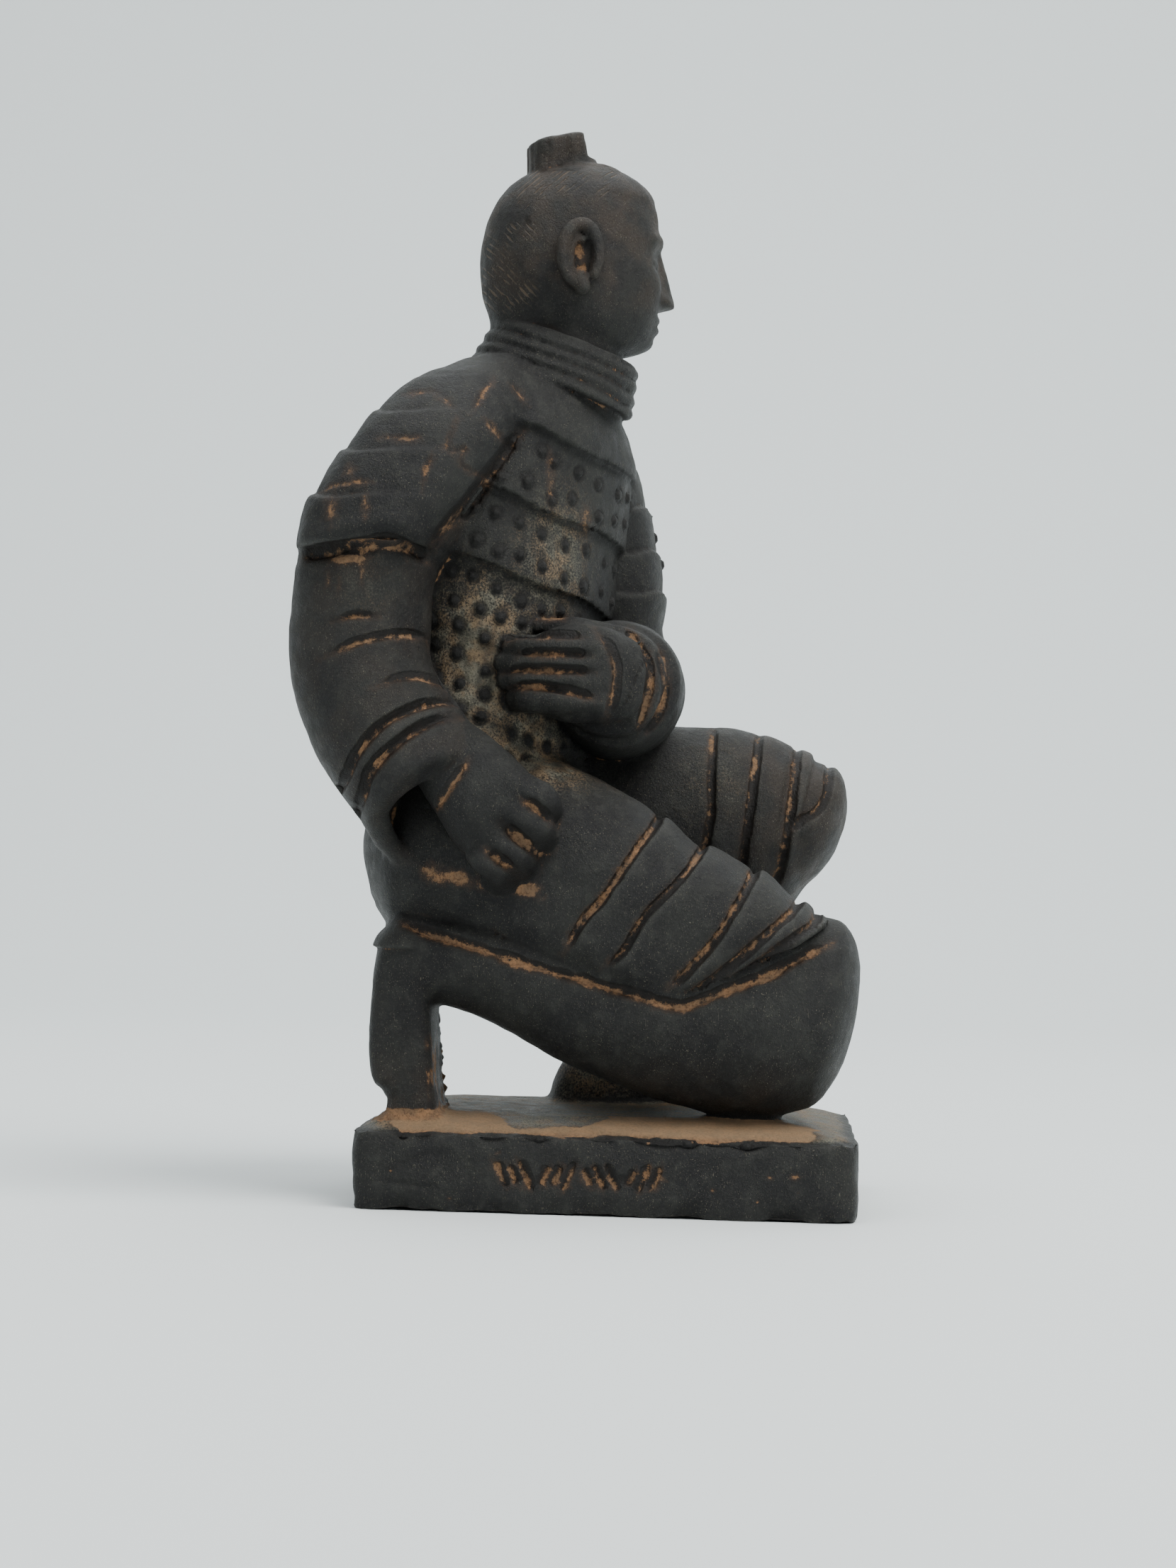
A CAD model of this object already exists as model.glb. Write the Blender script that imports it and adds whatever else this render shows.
# %% [markdown]
# # A moulded clay archer, dressed for its picture
#
# The frame holds one solid: a kneeling archer on its plinth. It is right in size and pose, but
# it is coarse. Here the same figure is modelled again in soft clay: each limb is a loft
# through the same cross-sections, the lofts are melted together in a volume of distances, and
# the tool marks are pressed into the skin that comes out. Lengths are in millimetres until the
# skin is handed to Blender.

# %% Load the frame
import math
import time

import bpy
import numpy as np
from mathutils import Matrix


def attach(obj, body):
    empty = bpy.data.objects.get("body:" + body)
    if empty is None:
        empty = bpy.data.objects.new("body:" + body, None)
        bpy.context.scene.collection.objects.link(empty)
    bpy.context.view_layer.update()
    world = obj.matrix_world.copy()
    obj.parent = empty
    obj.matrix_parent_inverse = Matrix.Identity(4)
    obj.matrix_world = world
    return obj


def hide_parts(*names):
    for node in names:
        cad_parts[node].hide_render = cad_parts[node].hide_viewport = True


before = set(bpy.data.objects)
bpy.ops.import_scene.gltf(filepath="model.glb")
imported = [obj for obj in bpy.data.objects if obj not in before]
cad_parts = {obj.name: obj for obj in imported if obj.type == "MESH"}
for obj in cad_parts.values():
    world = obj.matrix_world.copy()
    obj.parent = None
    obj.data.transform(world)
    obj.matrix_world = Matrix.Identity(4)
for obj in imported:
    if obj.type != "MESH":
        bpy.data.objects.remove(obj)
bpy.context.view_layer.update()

import openvdb
from mathutils import Matrix, Vector

started = time.time()

# %% [markdown]
# ## Rings and lofts
#
# A ring is one cross-section: a centre, two half-axes and how square it is. It is kept as one
# row of eleven numbers, so a loft can blend between rings with plain array arithmetic.

# %% Rings
CAP_ROWS = 9


def unit(v):
    v = np.asarray(v, float)
    return v / np.maximum(np.linalg.norm(v, axis=-1, keepdims=True), 1e-9)


def ring(centre, a, b, square=2.0, under=None):
    return np.array([*centre, *a, *b, square, under or square], float)


def level(x, y, z, depth, width, turn=0, square=2.2):
    """A level ring, turned about Z: a points forward, b to the figure's right."""
    s, c = math.sin(math.radians(turn)), math.cos(math.radians(turn))
    return ring((x, y, z), (-s * depth, -c * depth, 0), (-c * width, s * width, 0), square)


def across(low, high, near, far, square=2.2, under=None):
    """An upright ring across X, between a low and a high point given as (y, z)."""
    (y0, z0), (y1, z1) = low, high
    centre = ((near + far) / 2, (y0 + y1) / 2, (z0 + z1) / 2)
    return ring(centre, ((far - near) / 2, 0, 0), (0, (y1 - y0) / 2, (z1 - z0) / 2), square, under)


def catmull(points, t):
    """Points on an even Catmull-Rom curve; t runs from 0 to 1."""
    p = np.asarray(points, float)
    p = np.vstack([2 * p[0] - p[1], p, 2 * p[-1] - p[-2]])
    place = np.clip(t, 0, 1) * (len(p) - 3)
    i = np.minimum(place.astype(int), len(p) - 4)
    w = (place - i)[..., None]
    a, b, c, d = p[i], p[i + 1], p[i + 2], p[i + 3]
    return 0.5 * (2 * b + (c - a) * w + (2 * a - 5 * b + 4 * c - d) * w**2 + (3 * b - a - 3 * c + d) * w**3)


def tangents(points, t):
    return unit(catmull(points, np.minimum(t + 1e-4, 1)) - catmull(points, np.maximum(t - 1e-4, 0)))


# %% Limbs and lofts
def limb(stations, reference=(1, 0, 0), square=2.0):
    """Rings of a round limb: each station is x, y, z and one or two radii."""
    path = np.array([s[:3] for s in stations], float)
    along = tangents(path, np.linspace(0, 1, len(path)))
    side = unit(np.array(reference) - along * (along @ np.array(reference))[:, None])
    up = np.cross(along, side)
    return [ring(s[:3], side[i] * s[3], up[i] * s[-1], square) for i, s in enumerate(stations)]


def loft(rings, rows=70, around=96, dome=(0, 0), relief=None):
    """The closed skin through a row of rings, with domed ends: points and quads."""
    rings = np.array(rings)
    cap = np.radians(np.linspace(90, 0, CAP_ROWS + 1)[:-1])
    t = np.concatenate([np.zeros(CAP_ROWS), np.linspace(0, 1, rows), np.ones(CAP_ROWS)])
    scale = np.concatenate([np.cos(cap), np.ones(rows), np.cos(cap[::-1])])[:, None, None]
    shift = np.concatenate([-dome[0] * np.sin(cap), np.zeros(rows), dome[1] * np.sin(cap[::-1])])
    centre, a, b = np.split(catmull(rings[:, :9], t), 3, axis=1)
    ahead = tangents(rings[:, :3], t)
    turn = np.sign(np.cross(a[0], b[0]) @ ahead[0])
    angle = turn * 2 * np.pi * np.arange(around) / around
    c, s = np.cos(angle)[None, :, None], np.sin(angle)[None, :, None]
    knots = np.arange(len(rings))
    place = t * (len(rings) - 1)
    above = np.interp(place, knots, rings[:, 9])[:, None, None]
    below = np.interp(place, knots, rings[:, 10])[:, None, None]
    power = 2 / np.where(s < 0, below, above)
    a, b = a[:, None], b[:, None]
    out = unit(a * c / (a**2).sum(-1, keepdims=True) + b * s / (b**2).sum(-1, keepdims=True))
    flat = a * np.sign(c) * np.abs(c) ** power + b * np.sign(s) * np.abs(s) ** power
    if relief is not None:
        flat = flat + out * relief(t[:, None], angle[None])[..., None]
    points = centre[:, None] + (ahead * shift[:, None])[:, None] + scale * flat
    i, j = np.meshgrid(np.arange(len(t) - 1), np.arange(around), indexing="ij")
    k = (j + 1) % around
    quads = np.stack([i * around + j, i * around + k, (i + 1) * around + k, (i + 1) * around + j], -1)
    return points.reshape(-1, 3), quads.reshape(-1, 4)


# %% Small curves for relief
def gauss(x, width):
    return np.exp(-((x / width) ** 2))


def smooth(x, low, high):
    x = np.clip((x - low) / (high - low), 0, 1)
    return x * x * (3 - 2 * x)


def stretch(t, edges):
    """0 at the start of each stretch between edges, rising to 1 at its end."""
    marks = np.array([0, *edges, 1.0001])
    i = np.clip(np.searchsorted(marks, t, side="right") - 1, 0, len(marks) - 2)
    return (t - marks[i]) / (marks[i + 1] - marks[i])


def nearest_edge(t, edges):
    """Signed distance in t from the nearest edge."""
    gaps = t[..., None] - np.array(edges)
    best = np.abs(gaps).argmin(-1)
    return np.take_along_axis(gaps, best[..., None], -1)[..., 0]


# %% [markdown]
# ## A volume of distances
#
# Each loft becomes a level set: every cell holds its distance to the skin, negative inside.
# Two such fields join with a soft minimum, which leaves the fillet a thumb would leave in clay.

# %% The clay volume
VOXEL = 0.36
BAND = 3.2
ROOM = dict(low=np.array([-40.0, -42.0, -3.0]), high=np.array([37.0, 53.0, 166.0]))
LOW = np.floor(ROOM["low"] / VOXEL).astype(int)
HIGH = np.ceil(ROOM["high"] / VOXEL).astype(int)
GRID = openvdb.createLinearTransform(voxelSize=VOXEL)


class Field:
    """Distances over a small box of cells; `low` is its first cell."""

    def __init__(self, low, values):
        self.low = low
        self.values = values

    def axes(self):
        return np.meshgrid(
            *[(self.low[i] + np.arange(self.values.shape[i])) * VOXEL for i in range(3)],
            indexing="ij", sparse=True,
        )

    def without(self, other, soft=0.4):
        """Takes another field's inside away."""
        low = np.maximum(self.low, other.low)
        high = np.minimum(self.low + self.values.shape, other.low + other.values.shape)
        here = tuple(slice(a, b) for a, b in zip(low - self.low, high - self.low))
        there = tuple(slice(a, b) for a, b in zip(low - other.low, high - other.low))
        self.values[here] = -melt(-self.values[here], other.values[there], soft)
        return self

    def cut(self, point, normal, soft=0.4):
        """Keeps what lies behind a plane."""
        x, y, z = self.axes()
        n = unit(normal)
        plane = (x - point[0]) * n[0] + (y - point[1]) * n[1] + (z - point[2]) * n[2]
        return Field(self.low, -melt(-self.values, -plane.astype(np.float32), soft))


def melt(one, two, radius):
    """The soft minimum of two fields."""
    h = np.clip(0.5 + 0.5 * (one - two) / radius, 0, 1)
    return one * (1 - h) + two * h - radius * h * (1 - h)


def solid(skin):
    points, quads = skin
    reach = int(BAND / VOXEL)
    grid = openvdb.FloatGrid.createLevelSetFromPolygons(
        points.astype(np.float32), quads=quads.astype(np.uint32), transform=GRID, halfWidth=reach,
    )
    low = np.floor(points.min(0) / VOXEL).astype(int) - reach - 1
    high = np.ceil(points.max(0) / VOXEL).astype(int) + reach + 2
    values = np.empty(high - low, np.float32)
    grid.copyToArray(values, ijk=tuple(int(i) for i in low))
    return Field(low, values)


# %% The whole figure
class Clay:
    """The whole figure: its distances, and which piece of it owns each cell."""

    def __init__(self):
        self.values = np.full(HIGH - LOW, BAND, np.float32)
        self.owner = np.zeros(HIGH - LOW, np.uint8)
        self.names = ["none"]

    def window(self, field):
        low = np.maximum(field.low, LOW)
        high = np.minimum(field.low + field.values.shape, HIGH)
        here = tuple(slice(a, b) for a, b in zip(low - LOW, high - LOW))
        there = tuple(slice(a, b) for a, b in zip(low - field.low, high - field.low))
        return here, field.values[there]

    def add(self, name, *fields, soft=0.6):
        """Melts fields in; `soft` is the fillet in mm, or a function of x, y, z that gives it."""
        if name not in self.names:
            self.names.append(name)
        label = self.names.index(name)
        for field in fields:
            here, values = self.window(field)
            if callable(soft):
                x, y, z = Field(np.maximum(field.low, LOW), values).axes()
                radius = soft(x, y, z)
            else:
                radius = soft
            self.owner[here][values < self.values[here]] = label
            self.values[here] = melt(self.values[here], values, radius)


clay = Clay()
print("cells", clay.values.shape, "voxel", VOXEL, "mm")

# %% [markdown]
# ## Plinth and legs
#
# The plinth's top swells under the figure. The kneeling leg, the standing foot and the hem of
# the coat over them follow the frame's own stations, with the pleats rounded.

# %% Plinth and legs
PLINTH = dict(length=72, width=62, height=11, mound=2.2, corner=22)


def slab(z, inset):
    return level(0, 0, z, PLINTH["length"] / 2 - inset, PLINTH["width"] / 2 - inset, 0, PLINTH["corner"])


top = PLINTH["height"]
swell = PLINTH["mound"]
plinth = loft([slab(0, 0.5), slab(0.7, 0), slab(top - 0.7, 0), slab(top, 0.7), slab(top + 0.5 * swell, 5),
               slab(top + swell, 12)], rows=80, around=320)
clay.add("plinth", solid(plinth))

right_shin = loft([
    across((-28, 14.6), (-32, 42.6), -25, -3),
    across((-21, 13.4), (-25, 43.6), -26.6, -1.5),
    across((-8, 15.2), (-10, 40), -26.6, -2),
    across((6, 20.4), (4, 40), -26.2, -4),
    across((19, 26.8), (17, 42), -25.4, -6),
    across((31, 30), (29.6, 41.4), -24.8, -7.5, 3.2),
], dome=(5.6, 2.6))
right_foot = loft([
    level(-16.4, 28.2, 10.5, 6.6, 9.8, 0, 4),
    level(-16.4, 28.1, 13, 4.3, 9.2, 0, 6),
    level(-16.4, 28.2, 15, 3.7, 8.9, 0, 6),
    level(-16.2, 29.8, 19.6, 4.7, 8.6, 0, 6),
    level(-16.2, 30.2, 29, 4.6, 8.5, 0, 5),
    level(-16.2, 30, 36.5, 4.2, 8.2, 0, 3),
], dome=(0, 3))
clay.add("shin", solid(right_shin), solid(right_foot), soft=1.6)

right_skirt = loft([
    across((31.4, 40.7), (29.4, 61.6), -22, 4, 2.3, 3.4),
    across((20, 37), (12, 65), -25, 3, 2.3, 3.6),
    across((8, 33.8), (-2, 59.5), -26.8, 1, 2.3, 4.2),
    across((0.5, 31.6), (-10.8, 53.6), -27.4, 0, 2.3, 4.6),
    across((-5, 30.2), (-19.4, 50), -27.4, -0.6, 2.3, 4.6),
    across((-10, 30.2), (-25.5, 46.2), -27.2, -1, 2.3, 4.6),
    across((-18.5, 34.6), (-31, 42.2), -26.2, -2, 2.3, 4),
], rows=160, around=160, dome=(2.4, 0))
clay.add("right_skirt", solid(right_skirt), soft=0.3)

left_skirt = loft([
    across((17, 42), (15, 66), 0, 25),
    across((4, 42.4), (3, 71), 1, 27.4),
    across((-8, 42.8), (-9.4, 71.4), 2, 28.4),
    across((-16, 43), (-17.6, 71.2), 2.4, 28.6),
    across((-21.8, 45.6), (-25.6, 68.8), 3.2, 27.8),
], rows=160, around=160)
left_hem = loft([
    across((-14, 46), (-16, 69.4), 3.6, 27.4),
    across((-21.6, 45), (-25.2, 68.6), 3.6, 27.4),
    across((-24.6, 46.6), (-28.4, 67.4), 4.2, 26.8),
], dome=(0, 1))
left_knee = loft([
    across((-14, 46), (-16, 68.8), 4.2, 26.8),
    across((-21.6, 45), (-25.2, 67.8), 4.2, 26.8),
    across((-26.4, 47.4), (-29.4, 66.2), 5.2, 25.8),
], dome=(0, 6.2))
left_calf = loft(limb([
    (15.5, -20, 57, 11.6), (15.5, -14.5, 46, 10.8), (15.7, -6, 33, 8.8), (16, -0.5, 24, 7), (16, 2, 15, 6.6),
]))
left_foot = loft([
    across((8, 10.5), (7, 20), 9.6, 22),
    across((1, 10.5), (1, 22), 9, 23),
    across((-9, 10.5), (-9, 19), 8.4, 23.6),
    across((-19, 10.5), (-19, 16.4), 7.8, 24.4),
    across((-25, 10.5), (-25, 15.4), 8, 24.2),
], dome=(3, 3))
clay.add("left_leg", solid(left_calf), solid(left_foot), soft=2.0)
clay.add("left_leg", solid(left_knee), soft=1.6)
clay.add("left_skirt", solid(left_hem), solid(left_skirt), soft=0.4)
print("legs done,", round(time.time() - started, 1), "s")

# %% [markdown]
# ## Hips, chest and armour
#
# The chest leans forward and is wound to its right. Its armour is rows of small plates: each
# row's lower edge stands proud of the row below, and sags a little between its columns.

# %% Torso
SPINE = dict(foot=(0, 22.5, 66), lean=math.radians(18), length=60)
CHEST_EDGES = (5.1 + 10.6 * np.arange(5)) / SPINE["length"]


def spine_ring(s, back, depth, width, turn, square=2.3):
    """A ring square to the spine, s mm up it, turned to the figure's right."""
    lean, turn = SPINE["lean"], math.radians(turn)
    backward = np.array([0, math.cos(lean), math.sin(lean)])
    upward = np.array([0, -math.sin(lean), math.cos(lean)])
    leftward = np.array([1, 0, 0])
    centre = np.array(SPINE["foot"]) + s * upward + back * backward
    ahead = -depth * (math.sin(turn) * leftward + math.cos(turn) * backward)
    aside = width * (math.sin(turn) * backward - math.cos(turn) * leftward)
    return ring(centre, ahead, aside, square)


hips = loft([
    level(0, 20, 40.5, 13.6, 20, 0, 2.6),
    level(0, 20.6, 46, 15.8, 23, 4, 2.4),
    level(0, 20.8, 52, 16.4, 23.6, 8, 2.3),
    level(0, 20.5, 60, 15, 21.5, 10, 2.2),
    level(0, 20, 68, 13, 18, 12, 2.2),
])
clay.add("hips", solid(hips), soft=lambda x, y, z: 2.5 + 4 * smooth(y, 24, 30))


def plated(t, angle):
    """Rows of plates: proud just above each edge, sinking to the next; bold only on the chest."""
    t = t + 0.006 * np.abs(np.sin(3.5 * angle)) + 0.004 * np.sin(5 * angle + 9 * t) - 0.006
    bold = 0.35 + 0.65 * smooth(t, 0.3, 0.42)
    fall = smooth(stretch(t, CHEST_EDGES), 0, 1.05)
    return bold * (1.0 * (0.55 - fall) - 0.15 * gauss(nearest_edge(t, CHEST_EDGES) + 0.012, 0.012))


ARMOUR = [
    spine_ring(0, -1.6, 15.6, 20.6, 12),
    spine_ring(10, 0.4, 14, 18.6, 16),
    spine_ring(20, 2.6, 14, 19.6, 22),
    spine_ring(30, 5, 14.2, 21, 26),
    spine_ring(40, 6.4, 13.8, 21, 28),
    spine_ring(50, 7, 12.6, 18.2, 26),
    spine_ring(60, 8, 8, 8, 20),
]
clay.add("armour", solid(loft(ARMOUR, rows=260, around=220, relief=plated)), soft=0.5)

# %% [markdown]
# ## Arms and hands
#
# A shoulder guard of overlapping rows covers each upper arm. The right sleeve hangs to the hip
# and opens on a closed fist; the left one lies across the belly and opens on a flat hand.

# %% Arms and hands


def guarded(edges, step, plain_front=0.0):
    """Overlapping rows; they can fade towards the front, where the real guard is worn smooth."""
    def relief(t, angle):
        t = t + (0.012 * np.sin(2 * angle + 1) + 0.008 * np.sin(5 * angle)) * smooth(t, 0.1, 0.3)
        rows = step * (0.6 - stretch(t, edges)) * smooth(t, 0.1, 0.5)
        rows = rows - 0.2 * gauss(nearest_edge(t, edges) + 0.006, 0.01)
        return rows * (1 - plain_front * smooth(np.cos(angle), -0.3, 0.5))
    return relief


right_guard = loft([
    level(-6, 20.6, 124, 5, 6, 0, 2.4),
    level(-10.6, 23.6, 120.4, 8.2, 10, 0, 2.5),
    level(-15, 26.4, 114.4, 10.8, 11.8, 0, 2.6),
    level(-18.2, 30, 107.6, 11.8, 12.2, 0, 2.6),
    level(-20, 34, 100.8, 11.7, 12.2, 0, 2.6),
    level(-20.6, 37, 94.4, 10.4, 11.6, 0, 2.5),
], rows=200, around=160, dome=(1.4, 1.2), relief=guarded([0.2, 0.4, 0.58, 0.78], 0.75, 0.9))
left_guard = loft([
    level(6, 13, 120, 6, 6, 0, 2.4),
    level(11, 11.4, 116, 9, 10, 0, 2.5),
    level(15.4, 10, 109, 11, 12, 0, 2.6),
    level(17.6, 8.4, 101, 11.8, 12.2, 0, 2.6),
    level(18.4, 7, 93, 11.9, 12, 0, 2.6),
    level(18.6, 5.4, 85.6, 10.6, 11.2, 0, 2.5),
], rows=200, around=160, dome=(1.4, 1.2), relief=guarded([0.18, 0.36, 0.52, 0.68, 0.84], 0.75))

# %% Sleeves and cuff
right_sleeve = solid(loft(limb([
    (-17, 31, 103, 10), (-19.6, 36.6, 94, 10.2), (-20.4, 37.8, 84, 10.2), (-20.8, 37.2, 76, 10.3),
    (-22, 34.2, 69.6, 10.5), (-23.4, 30.6, 64.6, 10.6), (-24, 27.4, 60, 10.4), (-24.4, 24.6, 55, 10.2),
    (-24.6, 22.6, 50, 10),
]), rows=140))
cuff_hollow = solid(loft(limb([
    (-23.4, 29, 61, 4.4), (-24, 27.4, 58.4, 6.6), (-25, 24.6, 54, 7.6), (-26, 20, 46, 8.6),
]), dome=(2.4, 0)))
CUFF = dict(rim=(-31, 27, 60.6), facing=(-0.5, -0.5, -0.7))
right_sleeve = right_sleeve.without(cuff_hollow, 1.6).cut(CUFF["rim"], CUFF["facing"], 1.2)
far_rim = solid(loft(limb([
    (-28, 33.4, 55.4, 1.4), (-25, 32.4, 52.4, 1.5), (-23, 30.6, 50.2, 1.5), (-22.6, 28, 49, 1.3),
]), dome=(1, 1)))

left_sleeve = [
    limb([(17.6, 7.6, 95, 9.6), (18.6, 5.6, 87, 9.8), (16, 3.2, 79.4, 10), (8, 1.8, 76.4, 10.2),
          (-1, 1, 75.8, 10.2), (-9, 0.8, 76, 10), (-12.6, 0.6, 76.2, 9.4)], (0, 1, 0)),
    limb([(-6, 1.2, 76.2, 8.8), (-15.6, 1.4, 76.6, 8.2)], (0, 1, 0)),
    limb([(-9, 2.4, 76.6, 7.4), (-17.6, 2.6, 77, 6.8)], (0, 1, 0)),
]

# %% Hands
# the left fingers: how far each reaches in y, its height and its radius
FINGERS = [(17.2, 81.1, 1.6), (18.2, 78.6, 1.6), (17.8, 76.2, 1.5), (16.6, 73.3, 2.1)]
OUTWARD = (-1, 0, 0)
left_palm = loft(limb([
    (-15, -0.6, 77, 4.6, 5.6), (-17.6, 2.8, 77.4, 4.2, 6.9), (-18.2, 7.6, 77.3, 4, 7.2),
    (-18, 12, 77, 3, 5.8),
], OUTWARD, 2.5), dome=(0, 1.2))
left_fingers = [
    loft(limb([
        (-19.4, 2, z - 0.2, 2.2, r), (-20.6, 8, z, 2.2, r), (-20, 13, z, 2.1, r), (-18.6, y - r, z, 1.9, r),
    ], OUTWARD, 2.3), dome=(0, r))
    for y, z, r in FINGERS
]
left_thumb = loft(limb([
    (-15, 2, 83.2, 1.8), (-16.6, 7, 84.2, 1.6), (-15.6, 12, 84.2, 1.3),
], (0, 0, 1)), dome=(0, 1.2))

right_palm = loft(limb([
    (-22.4, 29.6, 69, 4, 4.6), (-24.6, 24.6, 65, 4.8, 5.8), (-26, 20.6, 61, 5.4, 6.8),
    (-26, 17.4, 57.4, 5.2, 7.4), (-25.4, 14.4, 54, 4.2, 6.6),
], OUTWARD, 2.3), dome=(0, 1.2))
# each curled finger: its knuckle and its bend as (y, z), seen from the right, and its radius
CURLED = [
    ((16, 61.4), (10.4, 58.7), 2.5), ((16.4, 58.4), (10.8, 54.5), 2.5),
    ((17.6, 54), (13.2, 50.6), 2.4), ((19.4, 51), (16.2, 48.6), 2.2),
]
right_fingers = [
    loft(limb([
        (-27.6, y0, z0, r - 0.4), (-28.8, 0.6 * y0 + 0.4 * y1, 0.6 * z0 + 0.4 * z1, r),
        (-28.2, y1, z1, r), (-25.4, y1 - 0.4, z1 - 1.4, r), (-22, y1 + 2, z1 - 1.2, r - 0.4),
    ], (0, 0.6, -0.8)), dome=(0.5, r))
    for (y0, z0), (y1, z1), r in CURLED
]

# %% Join the arms to the body
clay.add("right_sleeve", right_sleeve, far_rim, soft=1.0)
clay.add("right_guard", solid(right_guard), soft=lambda x, y, z: 0.5 + 3.0 * smooth(z, 111, 118))
clay.add("right_hand", solid(right_palm), soft=0.5)
clay.add("right_hand", *[solid(finger) for finger in right_fingers], soft=1.1)
clay.add("left_sleeve", *[solid(loft(rings, rows=120, dome=(0, 2.4))) for rings in left_sleeve], soft=0.4)
clay.add("left_guard", solid(left_guard), soft=lambda x, y, z: 0.5 + 3.0 * smooth(z, 109, 116))
clay.add("left_hand", solid(left_palm), soft=0.5)
clay.add("left_hand", *[solid(finger) for finger in left_fingers], solid(left_thumb), soft=0.5)
print("arms done,", round(time.time() - started, 1), "s")

# %% [markdown]
# ## Scarf and head
#
# The head is modelled upright in its own frame, facing -Y, then turned and set on the neck.
# The face is a plain calm one on the proportions every drawing manual gives: eyes at half the
# height, the nose's base two fifths below them, the mouth a third of the way from there down.

# %% Scarf and head
HEAD = dict(centre=(1, 9.6, 141.2), depth=13.4, width=11.2, height=14.6, turn=math.radians(16))


def on_neck(x, y, z):
    """Takes places from the head's own frame to the figure's."""
    s, c = math.sin(HEAD["turn"]), math.cos(HEAD["turn"])
    return np.stack([x * c - y * s, x * s + y * c, z], -1) + np.array(HEAD["centre"])


def placed(skin):
    points, quads = skin
    return on_neck(*points.T), quads


def wound(t, angle):
    """Rolls of cloth of uneven width, each sliding a little over the one below."""
    slip = 0.03 * np.sin(angle + 0.6) + 0.022 * np.sin(2 * angle + 7 * t) + 0.012 * np.sin(5 * angle)
    roll = (t + slip) * 4
    return 0.95 * np.sqrt(np.abs(np.sin(np.pi * roll))) - 0.65


scarf = loft([
    spine_ring(55.4 + 7.6 * k / 2, 7.4, 12.9 - 0.75 * k, 12.7 - 0.85 * k, 10, 2) for k in range(3)
], rows=160, around=160, relief=wound, dome=(0, 0.4))
neck = loft(limb([(0.4, 12, 116, 10.4), (1, 11, 131, 9.2)]))
clay.add("scarf", solid(neck), solid(scarf), soft=0.3)


# %% A plain face
# levels on the face, and how far the eyes are to each side, in mm from its middle
EYES, NOSE_BASE, MOUTH, CHIN = -0.4, -6.4, -9.15, -12.5
EYE_SIDE = 4.3


def face(x, z):
    """Height of the face in mm over the plain oval; x and z are mm from its middle."""
    side = np.abs(x)
    from_eye = side - EYE_SIDE
    lid = 0.55 * np.sqrt(np.clip(1 - (from_eye / 2.5) ** 2, 0, 1))
    open_eye = smooth(2.6 - np.abs(from_eye), 0, 0.5)
    lids = -0.28 * (gauss(z - lid + 0.3, 0.2) + gauss(z + lid + 0.6, 0.2)) * open_eye
    socket = -1.1 * gauss(z - EYES, 1.6) * gauss(from_eye, 2.6)
    ball = 0.95 * gauss(z - EYES, 1.0) * gauss(from_eye, 2.1)
    brow_line = 2.3 + 0.5 * np.sqrt(np.clip(1 - ((side - 4.2) / 3.4) ** 2, 0, 1))
    brow = 0.75 * gauss(z - brow_line, 1.0) * smooth(3.8 - np.abs(side - 4.2), 0, 1.5)
    bridge = np.clip((1.9 - z) / 8.0, 0, 1)
    nose = (0.5 + 2.4 * bridge) * gauss(x, 1.1 + 0.7 * bridge)
    nose = nose * smooth(z, NOSE_BASE - 0.5, NOSE_BASE + 0.5) * (1 - smooth(z, 1.6, 4))
    wings = 0.9 * gauss(side - 1.9, 0.9) * gauss(z - NOSE_BASE - 1, 0.9)
    lips = 0.8 * (gauss(z - MOUTH - 0.65, 0.6) + 1.1 * gauss(z - MOUTH + 0.65, 0.7)) * gauss(x, 2.5)
    parting = -0.5 * gauss(z - MOUTH - 0.12 * np.cos(x * 1.2), 0.25) * gauss(x, 2.7)
    chin = 1.2 * gauss(z - CHIN, 1.8) * gauss(x, 3.4)
    cheeks = 0.6 * gauss(z + 3.8, 2.6) * gauss(side - 6, 2.6)
    return nose + wings + brow + socket + ball + lids + lips + parting + chin + cheeks


# cross-sections of the head as shares of its size: height; shift back in mm, depth and width
HEIGHTS = np.array([-1, -0.88, -0.6, -0.12, 0.36, 0.64, 0.83, 0.95])
SIZES = [
    (2.4, 0.64, 0.5), (0.2, 0.84, 0.7), (-0.5, 0.93, 0.88), (0, 1, 1),
    (0, 0.96, 0.98), (-0.5, 0.85, 0.88), (-0.8, 0.66, 0.68), (-1.2, 0.4, 0.42),
]


def skin_and_hair(t, angle):
    z = HEAD["height"] * np.interp(t * (len(HEIGHTS) - 1), np.arange(len(HEIGHTS)), HEIGHTS)
    x = HEAD["width"] * np.sin(angle)
    front = smooth(np.cos(angle), 0.1, 0.3)
    hair = 0.35 * np.maximum(smooth(z, 7.5, 10), 1 - smooth(np.cos(angle), 0.0, 0.45))
    return hair + front * face(x, z)


skull = loft([
    level(0, shift, z * HEAD["height"], depth * HEAD["depth"], width * HEAD["width"])
    for z, (shift, depth, width) in zip(HEIGHTS, SIZES)
], rows=260, around=300, dome=(0.8, 1), relief=skin_and_hair)


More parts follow.
